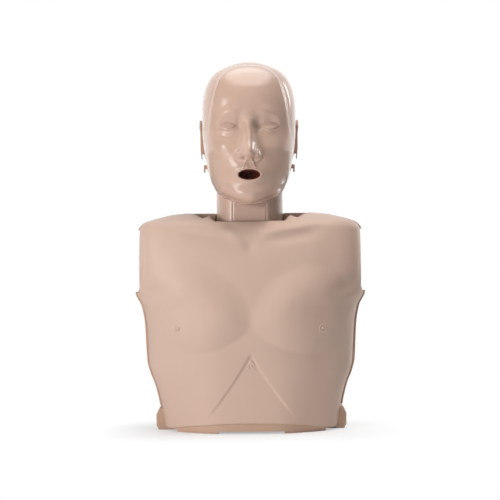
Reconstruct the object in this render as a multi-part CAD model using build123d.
from build123d import *
import math
import os

# A half-body manikin for practising chest compressions, standing on its waist.
# Millimetres. X runs across the shoulders, the face looks along -Y, and Z is up.
# The origin is on the floor, in the middle of the width and of the depth.

os.makedirs("parts", exist_ok=True)

# Overall places, front to back
BACK_Y = 100.0  # flat back that the manikin lies on
SEAM_Y = 22.0  # plane where the chest skin meets the back tray
RIM_Y = 8.0  # plane where the face shell meets the head frame

# Walls and fits
SKIN_WALL = 2.5
TRAY_WALL = 3.0
CAP_WALL = 3.0
HEAD_WALL = 3.0
NECK_WALL = 3.0
# Places across a section, as parts of its half width; closest at the middle and the edge
SPREAD = [0, 0.04, 0.08, 0.12, 0.17, 0.23, 0.3, 0.38, 0.47, 0.56, 0.65, 0.74, 0.82, 0.89,
          0.94, 0.975, 0.994, 1.0]

FIT_GAP = 0.4  # between pieces that sit in or beside each other
STOP_GAP = 0.3  # left at the ends of a travel
RUNNING_GAP = 0.06  # radial, sliding pieces
SCREW_GAP = 0.1  # radial, round the shank of a screw

# Torso: pairs of height and half width, and of height and depth ahead of the seam
TORSO_OUTLINE = [
    (0, 146), (46, 152.6), (76, 160), (95, 167.5), (115, 172.4), (145, 174.1),
    (175, 175.7), (204, 180.7), (227.5, 190.9), (260, 189.5), (331, 185.5),
    (341.8, 177.4), (347, 165), (351.4, 148.5), (355.2, 132), (358, 112),
]
TORSO_FRONT = [
    (0, 82), (50, 86), (111, 93), (165, 97), (220, 97), (270, 93), (310, 84),
    (335, 74), (344, 66), (350, 55), (355, 40), (358, 24),
]
SKIN_LEVELS = [0, 12, 26, 40, 54, 68, 82, 96, 110, 124, 138, 152, 166, 180, 194, 207,
               218, 227.5, 238, 250, 264, 278, 292, 305, 317, 328, 337, 344, 349, 353,
               356, 358]
# share of the depth at a share of the half width: the ribs are a wedge, the shoulders square
RIB_PLAN = [(0, 1), (0.15, 0.997), (0.3, 0.98), (0.42, 0.935), (0.54, 0.85), (0.66, 0.735),
            (0.78, 0.605), (0.88, 0.47), (0.95, 0.32), (0.985, 0.17), (1, 0)]
SHOULDER_FULLNESS = 0.58  # 1 is an ellipse in plan, less is squarer
ARM_CUT_X = 182.0  # flat end of the upper arm
ARM_CUT_BOTTOM = 229.0
ARM_CUT_TOP = 331.0
LIP = 3.0  # the lip stands this far out of the chest
LIP_THICK = 3.0
LIP_WIDTH = 16.0
LIP_BOTTOM = 40.0
HEM_EDGE = [(-1, 17), (40, 16), (80, 13), (115, 8), (140, 5), (200, 5)]
NECK_CUT_EDGE = [
    (57, 344), (59, 346), (64, 351.5), (69, 354), (73, 351), (77, 349.5), (81, 351),
    (86, 354), (95, 357), (104, 361),
]
NIPPLE_X, NIPPLE_Z = 116.7, 169.8
PEC_Z = 183.0
NIPPLE_R, NIPPLE_NUB = 6.5, 2.6

# Studs along the lip
STUD_LEVELS = [62, 128, 190, 345]
STUD_INSET = 10.5
STUD_R, STUD_HEAD_R, STUD_HEAD = 2.0, 4.0, 2.2
STUD_GAP = 0.1

# Back tray
TRAY_INSET = 3.0  # the tray hides this far inside the lip
TRAY_DEPTH = [(0, 84), (300, 84), (340, 76), (358, 60)]
TRAY_FULLNESS = 0.35
TRAY_RIM = 14.0
YOKE_HALF, YOKE_TOP, YOKE_REAR_Y = 96.0, 357.0, 78.0
RIB_X = (60.0, 86.0)
RIB_FRONT_Y, RIB_TOP = 78.0, 250.0

# Waist
FLOOR_GAP = 4.0  # the underside of the tray over the floor
BAND_TOP = 38.0
WAIST_SCREW_X = (36.0, 100.0)
WAIST_SCREW_Z = 13.0
HEEL_INNER = 126.0
HEEL_FRONT_Y, HEEL_BACK_Y = 13.0, 85.0
HEEL_TOP = 36.0
HEEL_EDGE = [(154, 0), (157.8, 7), (157.8, 25), (153, HEEL_TOP)]
HEEL_ROUND = 2.5
PAD_INNER, PAD_OUTER = 54.0, 121.5
PAD_FRONT_Y, PAD_REAR_Y = -60.0, -2.0
PAD_RECESS, PAD_EDGE = 1.5, 0.6

# Head: pairs of height and half width, and of height and depth from the rim
CHIN_Z, CROWN_Z = 371.0, 607.6
HEAD_OUTLINE = [
    (371, 12), (373.5, 24), (380, 40.5), (386, 49), (392.5, 55), (402.4, 60.2),
    (412.3, 64.7), (422.2, 67.6), (442, 71.6), (461.8, 75), (490, 77.2), (521, 77.6),
    (541, 76.7), (550.9, 75), (560.8, 72.6), (570.7, 69), (580.6, 63.4), (590.5, 53.5),
    (600.4, 35), (604.5, 22), (607.6, 8),
]
HEAD_FRONT = [
    (371, 72), (374, 78), (380, 84), (388, 86.5), (397, 84.5), (405, 82), (412, 83),
    (426, 86), (438, 87), (455, 86), (475, 84), (491, 83), (505, 86), (522, 87.5),
    (540, 86), (556, 81), (570, 73), (582, 62), (592, 49), (600, 34), (604.5, 22),
    (607.6, 9),
]
HEAD_REAR = [
    (396, 42), (425, 55), (450, 63), (480, 69), (510, 71), (535, 70), (556, 64),
    (572, 55), (584, 45), (594, 33), (600, 25), (604.5, 15), (607.6, 7),
]
FACE_LEVELS = [371, 373.5, 377, 381, 386, 392, 398, 403, 408, 412, 417, 422, 426, 431,
               435, 438, 440.5, 443, 446, 450, 455, 460, 466, 472, 478, 483, 487, 491,
               495, 500, 505, 510, 516, 523, 531, 540, 550, 560, 570, 579, 587, 594,
               600, 604.5, 607.6]
REAR_LEVELS = [396, 405, 416, 430, 446, 464, 482, 500, 518, 535, 550, 563, 574, 584,
               592, 598, 602.5, 605.5, 607.6]
FACE_FULLNESS = 0.8
JAW_BACK_Y, JAW_BACK_Z = -5.0, 398.0  # the jaw's lower edge runs between these two
JAW_FRONT_Y, JAW_FRONT_Z = -44.0, 370.0
EYE_X, EYE_Z = 31.0, 490.0
NOSE_TIP_Z, NOSE_TOP_Z, NOSE_FOOT_Z = 452.0, 500.0, 439.0
NOSE_HEIGHT = 21.3
MOUTH_Z = 417.3
MOUTH_HALF_WIDTH, MOUTH_HALF_HEIGHT = 18.1, 8.4
LIP_RISE, LIP_ROLL = 2.6, 4.2
SOCKET_FRONT_Y, SOCKET_REAR_Y = -76.0, -56.0

# Head frame, ears and shield hooks
FRAME_THICK = 5.0
FRAME_RING = 13.0
FRAME_BOTTOM = 402.0
WEB_BOTTOM, WEB_TOP = 421.0, 440.0
EAR_INNER, EAR_OUTER = 78.1, 81.8
EAR_FRONT = [(72, 440), (79, 447), (80.2, 466), (80.4, 494), (EAR_OUTER, 500), (EAR_OUTER, 520),
             (72, 520)]  # seen from the front, the top stands out furthest
EAR_DISH = 2.6
EAR_SIDE = [(8, 456), (14, 448), (21, 449), (27, 459), (33, 474), (41, 488), (42, 502),
            (36, 511), (24, 513), (13, 508), (8, 500)]
HOOK_Z0, HOOK_Z1, HOOK_OUT = 431.5, 438.0, 75.2
HOOK_TAIL, HOOK_FOOT_Z = 2.5, 425.8
HEAD_SCREW_LEVELS = (430.0, 505.0, 578.0)
BACK_SCREW_LEVELS = (465.0, 545.0)
HEAD_SCREW_INSET = 7.2
HEAD_BOSS_R, HEAD_BOSS = 5.2, 14.0
TUNNEL_R, PILLAR_R, TUNNEL_SEAT = 4.4, 6.2, 8.0

# Neck and head pivot
NECK_HALF = 55.0
NECK_REACH = 45.0  # depth of the oval ahead of its middle
NECK_MID_Y = 10.0
NECK_PANEL_Y = -29.2
NECK_BACK_Y = 62.0
NECK_TOP_Z = 394.0
NECK_SLOPE, NECK_SLOPE_Y = 40.0, 5.0  # degrees; the top falls away behind this
NECK_FLANGE, NECK_FLANGE_WIDTH = 3.0, 13.0
NECK_ROOM = 2.5
NECK_SCREW_SPOTS = [(44.5, 10.0), (29.0, 40.0)]
PANEL_HALF = 27.0
PANEL_GROOVE = 0.8
PIVOT_Y, PIVOT_Z = 15.0, 405.0
PIN_R = 4.0
PIN_CLEARANCE = 0.05
PIN_HEAD_R, PIN_HEAD = 7.0, 4.0
POST_HALF = 12.0
POST_R = 12.0
WASHER_THICK, WASHER_R = 2.0, 10.0
LUG_THICK = 8.0
LUG_R = 11.0
SHELF_TOP, SHELF_THICK = 323.0, 5.0
SHELF_HALF, SHELF_FRONT_Y = 57.0, -32.0
BRACKET_DROP = 62.0
BRACKET_HALF = 42.0

# Compression unit, along Y behind the lower half of the breastbone
PRESS_Z = 172.0
TRAVEL = 55.0
STEM_R = 22.0
STEM_WALL = 3.0
GUIDE_R = 24.0
GUIDE_WALL = 3.0
GUIDE_FLANGE_R = 46.0
GUIDE_FLANGE = 5.0
GUIDE_SCREW_R = 40.5
BUSH_LENGTH = 20.0
BUSH_FLANGE = 3.0
BUSH_CLEAR = 1.0  # left between the plate and the bush at full depth
PLATE_R = 38.0
PLATE_THICK = 5.0
PLATE_BACK_Y = -55.0
GUIDE_FRONT_Y = PLATE_BACK_Y + TRAVEL + BUSH_CLEAR + BUSH_FLANGE
PAD_INSET = 1.0
PAD_GAP = 0.8  # from the skin's wall, measured square to the plate
BUMPER_THICK = 6.0
BUMPER_HOLE_R = 17.0
DOME_R, DOME_RISE, DOME_THICK = 12.0, 2.7, 0.8
SPRING_R = 33.0
SPRING_WIRE = 4.5
SPRING_TURNS = 9
SPRING_SEAT_R = 30.3
SCREW_R = 2.0
SCREW_HEAD_R = 4.0
SCREW_HEAD = 2.4


def along(points, at):
    """Height of a smooth curve through a few points, with no overshoot."""
    xs = [p[0] for p in points]
    ys = [p[1] for p in points]
    if at <= xs[0]:
        return ys[0]
    if at >= xs[-1]:
        return ys[-1]
    slopes = [(ys[i + 1] - ys[i]) / (xs[i + 1] - xs[i]) for i in range(len(xs) - 1)]
    tangents = [slopes[0]]
    for before, after in zip(slopes, slopes[1:]):
        flat = before * after <= 0
        tangents.append(0.0 if flat else 2 * before * after / (before + after))
    tangents.append(slopes[-1])
    i = max(k for k in range(len(xs) - 1) if xs[k] <= at)
    h = xs[i + 1] - xs[i]
    t = (at - xs[i]) / h
    return (
        (1 + 2 * t) * (1 - t) ** 2 * ys[i]
        + t * (1 - t) ** 2 * h * tangents[i]
        + t * t * (3 - 2 * t) * ys[i + 1]
        + t * t * (t - 1) * h * tangents[i + 1]
    )


def bump(x, z, at_x, at_z, wide, high):
    """A soft mound, mirrored to both sides of the body."""
    return math.exp(-(((abs(x) - at_x) / wide) ** 2) - ((z - at_z) / high) ** 2)


def rise(value, low, high):
    """0 below low, 1 above high, smooth between."""
    t = min(1.0, max(0.0, (value - low) / (high - low)))
    return t * t * (3 - 2 * t)


def line_mound(distance, wide):
    """1 on a line, falling to 0 beside it."""
    return math.exp(-((distance / wide) ** 2))


def arch_line(z):
    """Half width of the arch under the ribs."""
    return 0.5 + 64.0 * (max(0.0, 130.6 - z) / 98.0) ** 1.15


def chest_relief(x, z):
    """How far the muscles stand out of the plain chest."""
    side = abs(x)
    # the chest muscle ends in a crease below and fades out above
    up = (z - PEC_Z) / (54 if z < PEC_Z else 92)
    mound = (abs((side - 95) / 95) ** 1.7 + abs(up) ** 1.7) ** (1 / 1.7)
    dome = 1 - mound**2.4
    creased = 0.5 * (dome + math.hypot(dome, 0.06))
    faded = 1 - rise(mound**1.4, 0.3, 1.07)
    crease = rise(PEC_Z + 16 - z, 0, 44) * (1 - rise(side, 84, 128))
    pec = 11.5 * (faded + (creased - faded) * crease)
    notch = -3.5 * bump(x, z, 0, 304, 10, 11)
    collar_z = 322.0 + 0.14 * side
    collar = 3.4 * line_mound(z - collar_z, 7) * rise(side, 12, 40)
    hollow = -3.6 * line_mound(z - collar_z + 14, 10) * rise(side, 14, 45)
    above = -3.0 * bump(x, z, 32, 338, 14, 7)
    upper = (collar + hollow + above) * (1 - rise(side, 82, 122))
    # hollow that runs up and out to the armpit
    off = (z - 233) * 0.901 - (side - 146) * 0.433
    run = (side - 146) * 0.901 + (z - 233) * 0.433
    armpit = -5.5 * line_mound(off, 13) * rise(run, -30, 16)
    arch_x = arch_line(z)
    belly = -2.4 * (1 - rise(side, arch_x - 2.6, arch_x + 3.2)) * (1 - rise(z, 120, 133))
    belly *= 0.2 + 0.8 * rise(z, 16, 56)
    return pec + notch + upper + armpit + belly


def oval_plan(fullness):
    """Plan of a body that is oval, or squarer where fullness is under 1."""
    return lambda u, z: max(0.0, 1 - u * u) ** (fullness / 2)


def chest_plan(u, z):
    """Plan of the chest at height z: share of the depth at a share of the half width."""
    ribs = along(RIB_PLAN, abs(u))
    shoulders = oval_plan(SHOULDER_FULLNESS)(u, z)
    return ribs + (shoulders - ribs) * rise(z, 195, 262)


def chest_y(x, z):
    """Y of the chest's surface at a place seen from the front."""
    out = chest_plan(x / (along(TORSO_OUTLINE, z) - LIP), z)
    return SEAM_Y - along(TORSO_FRONT, z) * out - chest_relief(x, z) * min(1.0, 1.6 * out)


def face_relief(x, z):
    """How far the features stand out of the plain head."""
    side = abs(x)
    brow = 3.0 * bump(x, z, 24, 507, 22, 7)
    socket = -9.0 * bump(x, z, EYE_X - 2, EYE_Z + 1, 17, 11)
    lid = 6.5 * bump(x, z, EYE_X, EYE_Z - 1, 12, 8)
    cheek = 4.0 * bump(x, z, 46, 466, 20, 15)
    hollow = -2.0 * bump(x, z, 44, 428, 16, 18)
    down = (NOSE_TOP_Z - z) / (NOSE_TOP_Z - NOSE_TIP_Z)
    ridge = 0.0
    if down > 0:
        ridge = NOSE_HEIGHT * min(1.0, 0.16 + 0.84 * down**1.2) * rise(down, 0, 0.25)
        ridge *= rise(z, NOSE_FOOT_Z - 2.5, NOSE_TIP_Z - 1)
        width = 7.5 + 5.0 * rise(down, 0.2, 1.0)
        ridge *= math.exp(-((side / width) ** 2.4))
    wing = 8.5 * bump(x, z, 14.5, NOSE_TIP_Z - 6.5, 6.5, 6.5)
    wing *= rise(z, NOSE_FOOT_Z - 3, NOSE_FOOT_Z + 4)
    around = math.hypot(x / (MOUTH_HALF_WIDTH + 2.4), (z - MOUTH_Z) / (MOUTH_HALF_HEIGHT + 2.4))
    lip = LIP_RISE * math.exp(-(((around - 1) * 11 / LIP_ROLL) ** 2))
    muzzle = 3.5 * bump(x, z, 0, MOUTH_Z + 3, 24, 22)
    chin = 3.5 * bump(x, z, 0, 386, 17, 9)
    return brow + socket + lid + cheek + hollow + ridge + wing + lip + muzzle + chin


def half_section(z, half_width, depth, seam, way, plan, relief, level):
    """Closed wire: one curve that bulges from the seam, and a straight line.

    The shape is the one of height z, and it is laid at height level.
    way is -1 for a bulge to the front and 1 for a bulge to the rear.
    """
    spread = [-u for u in reversed(SPREAD[1:])] + SPREAD
    curve = []
    for u in spread:
        out = plan(u, z)
        reach = depth * out + relief(u * half_width, z) * min(1.0, 1.6 * out)
        curve.append(Vector(u * half_width, seam + way * reach, level))
    return Wire([Edge.make_spline(curve), Edge.make_line(curve[-1], curve[0])])


def torso_solid(side, wall, levels, depths, way, plan, relief):
    """Half of the torso as a solid block, its surface moved inwards by wall."""
    sections = []
    for z in levels:
        top = rise(z, 325, 347)
        half = along(TORSO_OUTLINE, z) - side - wall * (1 - 0.7 * top)
        depth = along(depths, z) - wall * (1 - 0.7 * top)
        level = z - wall * top
        sections.append(half_section(z, half, depth, SEAM_Y, way, plan, relief, level))
    return Solid.make_loft(sections, ruled=True)


def chest_solid(wall, levels):
    return torso_solid(LIP, wall, levels, TORSO_FRONT, -1, chest_plan, chest_relief)


def tray_solid(wall):
    levels = [FLOOR_GAP + wall] + SKIN_LEVELS[1:]
    return torso_solid(TRAY_INSET, wall, levels, TRAY_DEPTH, 1, oval_plan(TRAY_FULLNESS), plain)


def plain(x, z):
    return 0.0


def block(x0, x1, y0, y1, z0, z1):
    """Box between two corners."""
    made = Box(x1 - x0, y1 - y0, z1 - z0)
    return Pos((x0 + x1) / 2, (y0 + y1) / 2, (z0 + z1) / 2) * made


def rod_y(radius, y0, y1, x=0.0, z=0.0):
    """Round bar along Y."""
    return Pos(x, (y0 + y1) / 2, z) * Rot(90, 0, 0) * Cylinder(radius, y1 - y0)


def rod_x(radius, x0, x1, y=0.0, z=0.0):
    """Round bar along X."""
    return Pos((x0 + x1) / 2, y, z) * Rot(0, 90, 0) * Cylinder(radius, x1 - x0)


def rod_z(radius, z0, z1, x=0.0, y=0.0):
    """Round bar along Z."""
    return Pos(x, y, (z0 + z1) / 2) * Cylinder(radius, z1 - z0)


def oval_y(half_wide, half_high, y0, y1, z):
    """Oval bar along Y."""
    plane = Plane((0, y0, z), x_dir=(1, 0, 0), z_dir=(0, 1, 0))
    rim = Edge.make_ellipse(half_wide, half_high, plane=plane)
    return Solid.extrude(Face(Wire([rim])), Vector(0, y1 - y0, 0))


def front_prism(outline, y0, y1):
    """Closed outline of (x, z) points, drawn in the front view, run from y0 to y1."""
    wire = Wire.make_polygon([Vector(x, y0, z) for x, z in outline], close=True)
    return Solid.extrude(Face(wire), Vector(0, y1 - y0, 0))


def side_prism(outline, x0, x1):
    """Closed outline of (y, z) points, drawn in the side view, run from x0 to x1."""
    wire = Wire.make_polygon([Vector(x0, y, z) for y, z in outline], close=True)
    return Solid.extrude(Face(wire), Vector(x1 - x0, 0, 0))


def both(shape):
    """The shape and its mirror image on the other side of the body."""
    return shape + mirror(shape, about=Plane.YZ)


def inward(table, levels, inset):
    """Right-hand outline (x, z) of a table of half widths, moved in square to itself."""
    points = [(along(table, z), z) for z in levels]
    moved = []
    for i, (x, z) in enumerate(points):
        before = points[max(i - 1, 0)]
        after = points[min(i + 1, len(points) - 1)]
        run, climb = after[0] - before[0], after[1] - before[1]
        length = math.hypot(run, climb)
        moved.append((x - inset * climb / length, z + inset * run / length))
    return moved


def outline_prism(table, levels, inset, y0, y1):
    """Front-view silhouette, moved inwards, run from y0 to y1."""
    right = [Vector(x, y0, z) for x, z in inward(table, levels, inset)]
    left = [Vector(-p.X, p.Y, p.Z) for p in reversed(right)]
    edges = [
        Edge.make_spline(right),
        Edge.make_line(right[-1], left[0]),
        Edge.make_spline(left),
        Edge.make_line(left[-1], right[0]),
    ]
    return Solid.extrude(Face(Wire(edges)), Vector(0, y1 - y0, 0))


def arm_cuts(inset):
    """Blocks that take the ends of the upper arms off."""
    cut = block(ARM_CUT_X - inset, 260, -120, 120, ARM_CUT_BOTTOM - inset, ARM_CUT_TOP + inset)
    return both(cut)


def torso_prism(inset, y0, y1, bottom):
    """Torso silhouette with the arm cuts, moved inwards and cut off level at the bottom."""
    prism = outline_prism(TORSO_OUTLINE, SKIN_LEVELS, inset, y0, y1)
    prism -= arm_cuts(inset)
    return prism - block(-260, 260, y0 - 1, y1 + 1, -60, bottom)


def edge_spot(z, inset):
    """Point (x, z) on the torso outline, moved inwards."""
    return inward(TORSO_OUTLINE, [z - 1, z, z + 1], inset)[1]


def save(shape, name):
    solids = list(shape.solids())
    export_step(Compound(children=solids), f"parts/{name}.step")
    box = Compound(children=solids).bounding_box()
    print(name, len(solids), round(shape.volume), box.min, box.max)


def heel(inset):
    """Rounded foot block at a rear corner of the waist."""
    low, high = inset, HEEL_TOP - inset
    edge = [(x - inset, min(max(z, low), high)) for x, z in HEEL_EDGE]
    outline = [(HEEL_INNER + inset, low)] + edge + [(HEEL_INNER + inset, high)]
    made = front_prism(outline, HEEL_FRONT_Y + inset, HEEL_BACK_Y - inset)
    return fillet(made.edges(), HEEL_ROUND)


def heel_room():
    """Space kept free for the heels in the pieces in front of the seam."""
    g = FIT_GAP
    room = block(HEEL_INNER - g, 200, HEEL_FRONT_Y - g, SEAM_Y + 1, -5, HEEL_TOP + g)
    return both(room)


def chest_skin():
    """Soft cover: front of the torso with its lip, arm ends, neck notch and hem."""
    outer = chest_solid(0, SKIN_LEVELS) - arm_cuts(0)
    inner = chest_solid(SKIN_WALL, SKIN_LEVELS) - arm_cuts(SKIN_WALL)
    lip = torso_prism(0, SEAM_Y - LIP_THICK, SEAM_Y, LIP_BOTTOM)
    lip -= torso_prism(LIP_WIDTH, SEAM_Y - LIP_THICK - 1, SEAM_Y + 1, -20)
    room = NECK_HALF + NECK_ROOM
    lip -= block(-room, room, SEAM_Y - LIP_THICK - 1, SEAM_Y + 1, 300, 400)
    skin = outer - inner + lip
    edge = [(-1, NECK_CUT_EDGE[0][1])] + NECK_CUT_EDGE + [(104, 380), (-1, 380)]
    notch = front_prism(edge, -90, SEAM_Y + 1)
    hem = front_prism(HEM_EDGE + [(200, -5), (-1, -5)], -120, SEAM_Y + 1)
    skin -= both(notch) + both(hem)
    skin -= heel_room()
    for x, z in stud_spots():
        skin -= rod_y(STUD_R + STUD_GAP, SEAM_Y - 9, SEAM_Y + 1, x, z)
    for side in (-1, 1):
        skin += nipple(side)
    return skin


def nipple(side):
    """Small raised ring with a nub, set into the chest muscle."""
    y = chest_y(NIPPLE_X, NIPPLE_Z)
    ring = rod_y(NIPPLE_R, y - 1.2, y + 2.2, side * NIPPLE_X, NIPPLE_Z)
    nub = rod_y(NIPPLE_NUB, y - 2.6, y, side * NIPPLE_X, NIPPLE_Z)
    return ring + nub


def stud_spots():
    """Places (x, z) of the studs that hold the lip of the skin."""
    spots = [edge_spot(z, STUD_INSET) for z in STUD_LEVELS]
    return spots + [(-x, z) for x, z in spots]


def skin_studs():
    """Push-in studs through the lip and the rim of the tray."""
    studs = []
    for x, z in stud_spots():
        stud = rod_y(STUD_HEAD_R, SEAM_Y - LIP_THICK - STUD_HEAD, SEAM_Y - LIP_THICK, x, z)
        stud += rod_y(STUD_R, SEAM_Y - LIP_THICK, SEAM_Y + TRAY_WALL + 3, x, z)
        studs.append(stud)
    return group(studs)


def group(shapes):
    """Separate solids that share one node."""
    return Compound(children=[solid for shape in shapes for solid in shape.solids()])


def back_tray():
    """Rigid rear half: flat back, side walls, front rim, yoke and two heels."""
    w = TRAY_WALL
    outer = tray_solid(0) - arm_cuts(TRAY_INSET) - block(-260, 260, BACK_Y, 200, 0, 400)
    inner = tray_solid(w) - arm_cuts(TRAY_INSET + w)
    inner -= block(-260, 260, BACK_Y - w, 200, 0, 400)
    inner -= block(-260, 260, -50, SEAM_Y + w, 0, 400)
    mouth = torso_prism(TRAY_INSET + TRAY_RIM, SEAM_Y - 1, SEAM_Y + w + 1, FLOOR_GAP + TRAY_RIM)
    outer += both(heel(0))
    inner += both(heel(w)) + mouth
    tray = outer - inner
    yoke = block(-YOKE_HALF, YOKE_HALF, SEAM_Y + 2, YOKE_REAR_Y, YOKE_TOP - 5, YOKE_TOP)
    tray += yoke
    g = NECK_ROOM
    tray -= block(-NECK_HALF - g, NECK_HALF + g, SEAM_Y - 1, NECK_BACK_Y + g, 330, 370)
    for x in RIB_X:
        rib = block(x - 1.5, x + 1.5, RIB_FRONT_Y, BACK_Y - 1, FLOOR_GAP + 1, RIB_TOP)
        tray += both(rib)
    for x, z in stud_spots():
        tray -= rod_y(STUD_R + STUD_GAP, SEAM_Y - 1, SEAM_Y + w + 1, x, z)
    for x in WAIST_SCREW_X:
        tray -= both(rod_y(SCREW_R + SCREW_GAP, SEAM_Y - 1, SEAM_Y + w + 1, x, WAIST_SCREW_Z))
    for x, z in guide_screw_spots() + bracket_screw_spots():
        tray -= rod_y(SCREW_R + SCREW_GAP, BACK_Y - w - 1, BACK_Y - 1, x, z)
    return tray


def waist_cap():
    """End wall of the waist: floor, band inside the skin's hem, and a screw flange."""
    clear = SKIN_WALL + FIT_GAP
    cap = chest_solid(clear, [FLOOR_GAP, 12, 26, BAND_TOP])
    cap -= chest_solid(clear + CAP_WALL, [FLOOR_GAP + CAP_WALL, 14, 27, BAND_TOP + 1])
    flange = block(-120, 120, SEAM_Y - CAP_WALL, SEAM_Y, FLOOR_GAP + 1, 20)
    cap += flange
    cap -= heel_room()
    for x in WAIST_SCREW_X:
        cap -= both(rod_y(SCREW_R + SCREW_GAP, SEAM_Y - 9, SEAM_Y + 1, x, WAIST_SCREW_Z))
    return cap - both(pad_solid(0.3, FLOOR_GAP - 1))


def waist_screws():
    """Screws that hold the waist cap to the rim of the tray."""
    screws = []
    for x in WAIST_SCREW_X:
        for side in (-1, 1):
            seat = SEAM_Y - CAP_WALL
            screws.append(screw_y(side * x, WAIST_SCREW_Z, seat, SEAM_Y + TRAY_WALL + 1.5))
    return group(screws)


def screw_y(x, z, seat, tip):
    """Pan-head screw along +Y: head in front of the seat, shank to the tip."""
    head = rod_y(SCREW_HEAD_R, seat - SCREW_HEAD, seat, x, z)
    slot = block(x - 2.6, x + 2.6, seat - SCREW_HEAD - 1, seat - SCREW_HEAD + 0.9, z - 0.5, z + 0.5)
    return head + rod_y(SCREW_R, seat, tip, x, z) - slot


def foot_pads():
    """Two pads that the waist stands on, seated in recesses of the waist cap."""
    return both(pad_solid(0, 0))


def pad_solid(grow, low):
    """One pad, cut to the curve of the waist cap."""
    top = FLOOR_GAP + PAD_RECESS
    pad = block(PAD_INNER - grow, PAD_OUTER + grow, PAD_FRONT_Y - grow, PAD_REAR_Y + grow, low, top)
    upright = [e for e in pad.edges() if abs(e.tangent_at(0.5).Z) > 0.9]
    pad = fillet(upright, 5)
    clear = SKIN_WALL + FIT_GAP
    half = along(TORSO_OUTLINE, FLOOR_GAP) - LIP - clear - PAD_EDGE + grow
    depth = along(TORSO_FRONT, FLOOR_GAP) - clear - PAD_EDGE + grow
    wire = half_section(FLOOR_GAP, half, depth, SEAM_Y, -1, chest_plan, chest_relief, low)
    return pad & Solid.extrude(Face(wire), Vector(0, 0, top - low))


def neck_plan(inset, z0, z1):
    """Oval column of the neck with its flat front panel."""
    half = NECK_HALF - inset
    front = NECK_REACH - inset
    rear = NECK_BACK_Y - NECK_MID_Y - inset
    points = []
    for i in range(48):
        angle = 2 * math.pi * i / 48
        reach = front if math.sin(angle) < 0 else rear
        points.append(Vector(half * math.cos(angle), NECK_MID_Y + reach * math.sin(angle), z0))
    wire = Wire([Edge.make_spline(points, periodic=True)])
    column = Solid.extrude(Face(wire), Vector(0, 0, z1 - z0))
    return column - block(-80, 80, -80, NECK_PANEL_Y + inset, z0 - 1, z1 + 1)


def neck_slope(inset):
    """Wedge taken off behind the head, so that the head can swing back."""
    top = NECK_TOP_Z - inset
    run = 100.0
    drop = run * math.tan(math.radians(NECK_SLOPE))
    start = NECK_SLOPE_Y - inset * 0.4
    wedge = [(start, top), (start + run, top - drop), (start + run, top + 60), (start, top + 60)]
    return side_prism(wedge, -80, 80)


def neck_shell():
    """Neck column, closed at the top except for the slot of the post."""
    shell = neck_plan(0, SHELF_TOP, NECK_TOP_Z) - neck_slope(0)
    hollow = neck_plan(NECK_WALL, SHELF_TOP + NECK_FLANGE, NECK_TOP_Z - NECK_WALL)
    hollow -= neck_slope(NECK_WALL)
    shell -= hollow
    shell -= neck_plan(NECK_FLANGE_WIDTH, SHELF_TOP - 1, SHELF_TOP + NECK_FLANGE + 1)
    g = 1.0
    shell -= block(-POST_HALF - g, POST_HALF + g, PIVOT_Y - POST_R - g, PIVOT_Y + POST_R + g,
                   SHELF_TOP + 20, NECK_TOP_Z + 10)
    for side in (-1, 1):
        x = side * PANEL_HALF
        shell -= block(x - 0.6, x + 0.6, NECK_PANEL_Y - 1, NECK_PANEL_Y + PANEL_GROOVE,
                       SHELF_TOP + 8, NECK_TOP_Z - 2)
    for x, y in NECK_SCREW_SPOTS:
        shell -= both(rod_z(SCREW_R + SCREW_GAP, SHELF_TOP - 1, SHELF_TOP + NECK_FLANGE + 1, x, y))
    return shell


def neck_screws():
    """Screws through the foot of the neck into the shelf."""
    screws = []
    for x, y in NECK_SCREW_SPOTS:
        seat = SHELF_TOP + NECK_FLANGE
        screw = rod_z(SCREW_HEAD_R, seat, seat + SCREW_HEAD, x, y)
        screw += rod_z(SCREW_R, SHELF_TOP - SHELF_THICK - 1, seat, x, y)
        screws += [screw, mirror(screw, about=Plane.YZ)]
    return group(screws)


def neck_bracket():
    """Shelf under the neck, back plate against the tray, gussets and the pivot post."""
    wall = BACK_Y - TRAY_WALL
    low = SHELF_TOP - SHELF_THICK
    bracket = block(-SHELF_HALF, SHELF_HALF, SHELF_FRONT_Y, wall, low, SHELF_TOP)
    bracket += block(-BRACKET_HALF, BRACKET_HALF, wall - 5, wall, low - BRACKET_DROP, low + 1)
    for side in (-1, 1):
        x = side * 26.0
        gusset = side_prism([(wall - 4, low - 50), (wall - 4, low + 1), (0, low + 1)], x - 2, x + 2)
        bracket += gusset
    bracket += block(-POST_HALF, POST_HALF, PIVOT_Y - POST_R, PIVOT_Y + POST_R, low + 1, PIVOT_Z)
    bracket += rod_x(POST_R, -POST_HALF, POST_HALF, PIVOT_Y, PIVOT_Z)
    bracket -= rod_x(PIN_R + PIN_CLEARANCE, -60, 60, PIVOT_Y, PIVOT_Z)
    for x, z in bracket_screw_spots():
        bracket -= rod_y(SCREW_R + SCREW_GAP, wall - 10, wall + 1, x, z)
    for x, y in NECK_SCREW_SPOTS:
        bracket -= both(rod_z(SCREW_R + SCREW_GAP, low - 1, SHELF_TOP + 1, x, y))
    return bracket


def bracket_screw_spots():
    low = SHELF_TOP - SHELF_THICK
    return [(side * (BRACKET_HALF - 8), low - drop) for side in (-1, 1) for drop in (14, 54)]


def bracket_screws():
    """Screws that hold the bracket to the back of the tray."""
    seat = BACK_Y - TRAY_WALL - 5
    return group([screw_y(x, z, seat, BACK_Y - 1.2) for x, z in bracket_screw_spots()])


def guide_screw_spots():
    """Four places round the flange of the guide."""
    spots = []
    for i in range(4):
        angle = math.radians(45 + 90 * i)
        spots.append((GUIDE_SCREW_R * math.cos(angle), PRESS_Z + GUIDE_SCREW_R * math.sin(angle)))
    return spots


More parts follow.
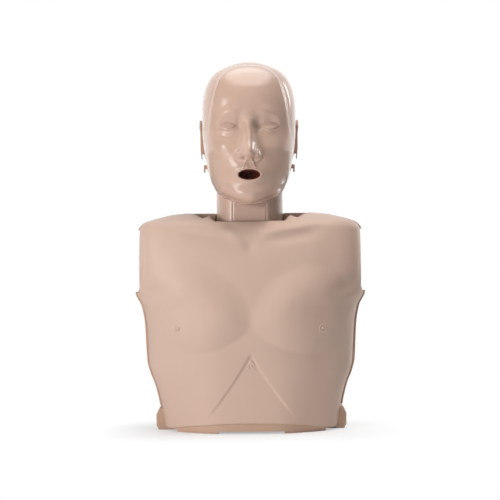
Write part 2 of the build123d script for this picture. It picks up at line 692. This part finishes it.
def guide_tube():
    """Tube that the plunger slides in, with a flange against the back of the tray."""
    wall = BACK_Y - TRAY_WALL
    tube = rod_y(GUIDE_R + GUIDE_WALL, GUIDE_FRONT_Y, wall, 0, PRESS_Z)
    tube += rod_y(GUIDE_FLANGE_R, wall - GUIDE_FLANGE, wall, 0, PRESS_Z)
    tube += rod_y(SPRING_SEAT_R, wall - GUIDE_FLANGE - 4, wall, 0, PRESS_Z)
    tube -= rod_y(GUIDE_R, GUIDE_FRONT_Y - 1, wall + 1, 0, PRESS_Z)
    for x, z in guide_screw_spots():
        tube -= rod_y(SCREW_R + SCREW_GAP, wall - 10, wall + 1, x, z)
    return tube


def guide_screws():
    """Screws that hold the flange of the guide to the tray."""
    seat = BACK_Y - TRAY_WALL - GUIDE_FLANGE
    return group([screw_y(x, z, seat, BACK_Y - 1.2) for x, z in guide_screw_spots()])


def guide_bush():
    """Plastic bearing in the mouth of the guide; its rear end is the upper stop."""
    bush = rod_y(GUIDE_R - 0.05, GUIDE_FRONT_Y, GUIDE_FRONT_Y + BUSH_LENGTH, 0, PRESS_Z)
    front = GUIDE_FRONT_Y - BUSH_FLANGE
    bush += rod_y(GUIDE_R + GUIDE_WALL, front, GUIDE_FRONT_Y, 0, PRESS_Z)
    bore = rod_y(STEM_R + RUNNING_GAP, front - 1, GUIDE_FRONT_Y + BUSH_LENGTH + 1, 0, PRESS_Z)
    return bush - bore


def bumper():
    """Rubber ring that stops the plunger at full depth."""
    wall = BACK_Y - TRAY_WALL
    ring = rod_y(GUIDE_R - 0.5, wall - BUMPER_THICK, wall, 0, PRESS_Z)
    return ring - rod_y(BUMPER_HOLE_R, wall - BUMPER_THICK - 1, wall + 1, 0, PRESS_Z)


def click_dome():
    """Thin snap disc inside the bumper that clicks at full depth."""
    wall = BACK_Y - TRAY_WALL
    ball = (DOME_R**2 + DOME_RISE**2) / (2 * DOME_RISE)
    centre = wall - DOME_RISE + ball
    dome = Pos(0, centre, PRESS_Z) * (Sphere(ball) - Sphere(ball - DOME_THICK))
    return dome & block(-30, 30, wall - 20, wall, PRESS_Z - 30, PRESS_Z + 30)


def main_spring():
    """Coil spring between the compression plate and the flange of the guide."""
    start = PLATE_BACK_Y + SPRING_WIRE / 2 + 0.05
    end = BACK_Y - TRAY_WALL - GUIDE_FLANGE - SPRING_WIRE / 2 - 0.05
    height = end - start
    path = Helix(pitch=height / SPRING_TURNS, height=height, radius=SPRING_R)
    profile = Plane(path @ 0, z_dir=path % 0) * Circle(SPRING_WIRE / 2)
    coil = sweep(profile, path=path)
    return Pos(0, start, PRESS_Z) * Rot(-90, 0, 0) * coil


def stem_rear():
    """Rear end of the stem at rest: one full travel ahead of the bumper."""
    return BACK_Y - TRAY_WALL - BUMPER_THICK - TRAVEL - STOP_GAP


def plunger_stem():
    """Tube that slides in the bush, with a collar, two end walls and the click nub."""
    rear = stem_rear()
    stem = rod_y(STEM_R, PLATE_BACK_Y, rear, 0, PRESS_Z)
    stem += rod_y(GUIDE_R - RUNNING_GAP, GUIDE_FRONT_Y + BUSH_LENGTH + STOP_GAP, rear, 0, PRESS_Z)
    stem -= rod_y(STEM_R - STEM_WALL, PLATE_BACK_Y + 5, rear - 3, 0, PRESS_Z)
    tip = BACK_Y - TRAY_WALL - DOME_RISE - STOP_GAP - TRAVEL
    stem += rod_y(3.0, rear - 1, tip, 0, PRESS_Z)
    for x, z in plate_screw_spots():
        stem -= rod_y(SCREW_R + SCREW_GAP, PLATE_BACK_Y - 1, PLATE_BACK_Y + 6, x, z)
    return stem


def plate_screw_spots():
    spots = []
    for i in range(3):
        angle = math.radians(90 + 120 * i)
        spots.append((12 * math.cos(angle), PRESS_Z + 12 * math.sin(angle)))
    return spots


def compression_plate():
    """Round plate that the chest presses on, with a ring that centres the spring."""
    plate = rod_y(PLATE_R, PLATE_BACK_Y - PLATE_THICK, PLATE_BACK_Y, 0, PRESS_Z)
    ring = rod_y(SPRING_SEAT_R, PLATE_BACK_Y - 1, PLATE_BACK_Y + 4, 0, PRESS_Z)
    ring -= rod_y(SPRING_SEAT_R - 3, PLATE_BACK_Y - 2, PLATE_BACK_Y + 5, 0, PRESS_Z)
    plate += ring
    front = PLATE_BACK_Y - PLATE_THICK
    for x, z in plate_screw_spots():
        plate -= rod_y(SCREW_R + SCREW_GAP, front - 1, PLATE_BACK_Y + 1, x, z)
        plate -= rod_y(SCREW_HEAD_R + 0.3, front - 1, front + SCREW_HEAD + 0.2, x, z)
    return plate


def plate_screws():
    """Sunk screws that hold the plate to the stem."""
    seat = PLATE_BACK_Y - PLATE_THICK + SCREW_HEAD + 0.2
    return group([screw_y(x, z, seat, PLATE_BACK_Y + 4.5) for x, z in plate_screw_spots()])


def foam_pad():
    """Soft disc that fills the room between the plate and the skin."""
    r = PLATE_R - PAD_INSET
    turns = [math.radians(10 * step) for step in range(36)]
    rim = [chest_y(r * math.sin(turn), PRESS_Z + r * math.cos(turn)) for turn in turns]
    front = max(rim) + SKIN_WALL + PAD_GAP
    return rod_y(r, front, PLATE_BACK_Y - PLATE_THICK, 0, PRESS_Z)


def face_solid(wall):
    """Front half of the head as a solid block, its face moved inwards by wall."""
    def relief(x, z):
        out = face_relief(x, z)
        return min(out, 0.6 * out) if wall else out

    return head_solid(wall, FACE_LEVELS, HEAD_FRONT, RIM_Y, -1, relief)


def head_solid(wall, levels, depths, seam, way, relief):
    """Half of the head as a solid block, its surface moved inwards by wall."""
    plan = oval_plan(FACE_FULLNESS)
    sections = []
    for z in levels:
        top = rise(z, 572, 600)
        foot = 1 - rise(z, CHIN_Z, CHIN_Z + 12)
        less = wall * (1 - 0.7 * max(top, foot))
        half = along(HEAD_OUTLINE, z) - less
        depth = along(depths, z) - less
        level = z + wall * (foot - top)
        sections.append(half_section(z, half, depth, seam, way, plan, relief, level))
    return Solid.make_loft(sections, ruled=True)


def jaw_cut(reach):
    """Wedge below the jaw line, from the front of the neck backwards."""
    slope = (JAW_BACK_Z - JAW_FRONT_Z) / (JAW_BACK_Y - JAW_FRONT_Y)
    rear = RIM_Y + 1
    top = JAW_BACK_Z + slope * (rear - JAW_BACK_Y)
    low = JAW_FRONT_Z - 10
    front = JAW_FRONT_Y - 10 / slope
    return side_prism([(front, low), (rear, top), (rear, low)], -reach, reach)


def face_shell():
    """Glossy front of the head: features, lips, mouth socket and screw bosses."""
    shell = face_solid(0) - face_solid(HEAD_WALL)
    wide, high = MOUTH_HALF_WIDTH, MOUTH_HALF_HEIGHT
    shell += oval_y(wide + 3, high + 3, SOCKET_FRONT_Y, SOCKET_REAR_Y, MOUTH_Z)
    for x, z in head_spots(HEAD_SCREW_LEVELS):
        shell += rod_y(HEAD_BOSS_R, RIM_Y - HEAD_BOSS, RIM_Y, x, z)
    shell -= oval_y(wide, high, -110, SOCKET_REAR_Y + 1, MOUTH_Z)
    shell -= jaw_cut(90)
    for x, z in head_spots(HEAD_SCREW_LEVELS):
        shell -= rod_y(SCREW_R + SCREW_GAP, RIM_Y - HEAD_BOSS + 2, RIM_Y + 1, x, z)
    return shell


def head_spots(levels):
    """Screw places (x, z) round the rim of the head."""
    spots = []
    for z in levels:
        x, moved_z = inward(HEAD_OUTLINE, [z - 1, z, z + 1], HEAD_SCREW_INSET)[1]
        spots += [(x, moved_z), (-x, moved_z)]
    return spots


def mouth_adapter():
    """Dark socket pushed into the mouth, with a port for a tube in its rear wall."""
    wide, high = MOUTH_HALF_WIDTH - 0.2, MOUTH_HALF_HEIGHT - 0.2
    front = SOCKET_FRONT_Y + 1
    rear = SOCKET_REAR_Y
    piece = oval_y(wide, high, front, rear + 4, MOUTH_Z)
    piece += oval_y(wide + 3, high + 3, rear, rear + 4, MOUTH_Z)
    piece -= oval_y(wide - 2, high - 2, front - 1, rear + 1, MOUTH_Z)
    piece += rod_y(6.0, rear + 3, rear + 14, 0, MOUTH_Z)
    return piece - rod_y(4.5, rear - 1, rear + 15, 0, MOUTH_Z)


def head_frame():
    """Middle plate of the head: ring, web, pivot lugs, ears and shield hooks."""
    y0, y1 = RIM_Y, RIM_Y + FRAME_THICK
    levels = [z for z in FACE_LEVELS if z > 395]
    frame = outline_prism(HEAD_OUTLINE, levels, 0, y0, y1)
    frame -= outline_prism(HEAD_OUTLINE, levels, FRAME_RING, y0 - 1, y1 + 1)
    frame -= block(-90, 90, y0 - 1, y1 + 1, 380, FRAME_BOTTOM)
    frame -= block(-45, 45, y0 - 1, y1 + 1, 380, WEB_BOTTOM)
    frame += block(-62, 62, y0, y1, WEB_BOTTOM, WEB_TOP)
    inner = POST_HALF + WASHER_THICK + 0.1
    lug = rod_x(LUG_R, inner, inner + LUG_THICK, PIVOT_Y, PIVOT_Z)
    lug += block(inner, inner + LUG_THICK, y0, PIVOT_Y + 6, PIVOT_Z, WEB_TOP)
    frame += both(lug)
    ear = side_prism(EAR_SIDE, EAR_INNER, EAR_OUTER)
    ear = ear & front_prism(EAR_FRONT, -10, 60)
    hollow = [(y * 0.62 + 9.5, (z - 482) * 0.62 + 483) for y, z in EAR_SIDE]
    ear -= side_prism(hollow, EAR_OUTER - EAR_DISH, EAR_OUTER + 1)
    ear += block(EAR_INNER - 5, EAR_INNER + 1, y0, y1, 456, 500)
    frame += both(ear)
    hook = block(60, HOOK_OUT, y0, y1, HOOK_Z0, HOOK_Z1)
    hook += block(HOOK_OUT - HOOK_TAIL, HOOK_OUT, y0, y1, HOOK_FOOT_Z, HOOK_Z1)
    frame += both(hook)
    frame -= rod_x(PIN_R + PIN_CLEARANCE, -60, 60, PIVOT_Y, PIVOT_Z)
    for x, z in head_spots(HEAD_SCREW_LEVELS + BACK_SCREW_LEVELS):
        frame -= rod_y(SCREW_R + SCREW_GAP, y0 - 1, y1 + 1, x, z)
    return frame


def rear_solid(wall):
    """Rear half of the head as a solid block."""
    seam = RIM_Y + FRAME_THICK
    return head_solid(wall, REAR_LEVELS, HEAD_REAR, seam, 1, plain)


def head_back():
    """Rear shell of the head with screw tunnels, open below for the neck."""
    seam = RIM_Y + FRAME_THICK
    outer = rear_solid(0)
    shell = outer - rear_solid(HEAD_WALL)
    shell -= block(-90, 90, seam - 1, 120, 380, 397)
    for x, z in head_spots(BACK_SCREW_LEVELS):
        shell += rod_y(PILLAR_R, seam, 80, x, z) & outer
    for x, z in head_spots(BACK_SCREW_LEVELS):
        shell -= rod_y(TUNNEL_R, seam + TUNNEL_SEAT, 110, x, z)
        shell -= rod_y(SCREW_R + SCREW_GAP, seam - 1, seam + TUNNEL_SEAT + 1, x, z)
    for x, z in head_spots(HEAD_SCREW_LEVELS):
        shell -= rod_y(SCREW_HEAD_R + 0.4, seam - 1, seam + SCREW_HEAD + 0.5, x, z)
    return shell


def head_screws():
    """Screws from behind the frame into the bosses of the face shell."""
    seat = RIM_Y + FRAME_THICK
    screws = [rear_screw(x, z, seat, RIM_Y - HEAD_BOSS + 3) for x, z in head_spots(HEAD_SCREW_LEVELS)]
    return group(screws)


def back_screws():
    """Screws through the tunnels of the head back into the frame."""
    seat = RIM_Y + FRAME_THICK + TUNNEL_SEAT
    return group([rear_screw(x, z, seat, RIM_Y + 0.5) for x, z in head_spots(BACK_SCREW_LEVELS)])


def rear_screw(x, z, seat, tip):
    """Pan-head screw along -Y."""
    head = rod_y(SCREW_HEAD_R, seat, seat + SCREW_HEAD, x, z)
    slot = block(x - 2.6, x + 2.6, seat + SCREW_HEAD - 0.9, seat + SCREW_HEAD + 1, z - 0.5, z + 0.5)
    return head + rod_y(SCREW_R, tip, seat, x, z) - slot


def pin_end():
    """Outer face of the pivot lugs."""
    return POST_HALF + WASHER_THICK + 0.1 + LUG_THICK


def pivot_pin():
    """Bolt that the head turns on."""
    end = pin_end()
    pin = rod_x(PIN_R, -end, end + 7, PIVOT_Y, PIVOT_Z)
    return pin + rod_x(PIN_HEAD_R, -end - PIN_HEAD, -end, PIVOT_Y, PIVOT_Z)


def pivot_nut():
    """Locking nut of the pivot bolt."""
    end = pin_end()
    blank = RegularPolygon(PIN_HEAD_R, 6, major_radius=False)
    nut = Pos(end, PIVOT_Y, PIVOT_Z) * Rot(0, 90, 0) * extrude(blank, 5.5)
    return nut - rod_x(PIN_R + PIN_CLEARANCE, end - 1, end + 7, PIVOT_Y, PIVOT_Z)


def friction_washers():
    """Two washers between the post and the lugs, which hold the head where it is put."""
    gap = 0.05
    washer = rod_x(WASHER_R, POST_HALF + gap, POST_HALF + gap + WASHER_THICK, PIVOT_Y, PIVOT_Z)
    washer -= rod_x(PIN_R + PIN_CLEARANCE, 0, 40, PIVOT_Y, PIVOT_Z)
    return group([washer, mirror(washer, about=Plane.YZ)])


PIECES = [
    back_tray, chest_skin, waist_cap, foot_pads, skin_studs, waist_screws, neck_bracket,
    bracket_screws, neck_shell, neck_screws, guide_tube, guide_screws, guide_bush, bumper,
    click_dome, main_spring, friction_washers, plunger_stem, compression_plate, plate_screws,
    foam_pad, face_shell, mouth_adapter, head_frame, head_back, head_screws, back_screws,
    pivot_pin, pivot_nut,
]

for make in PIECES:
    save(make(), make.__name__)
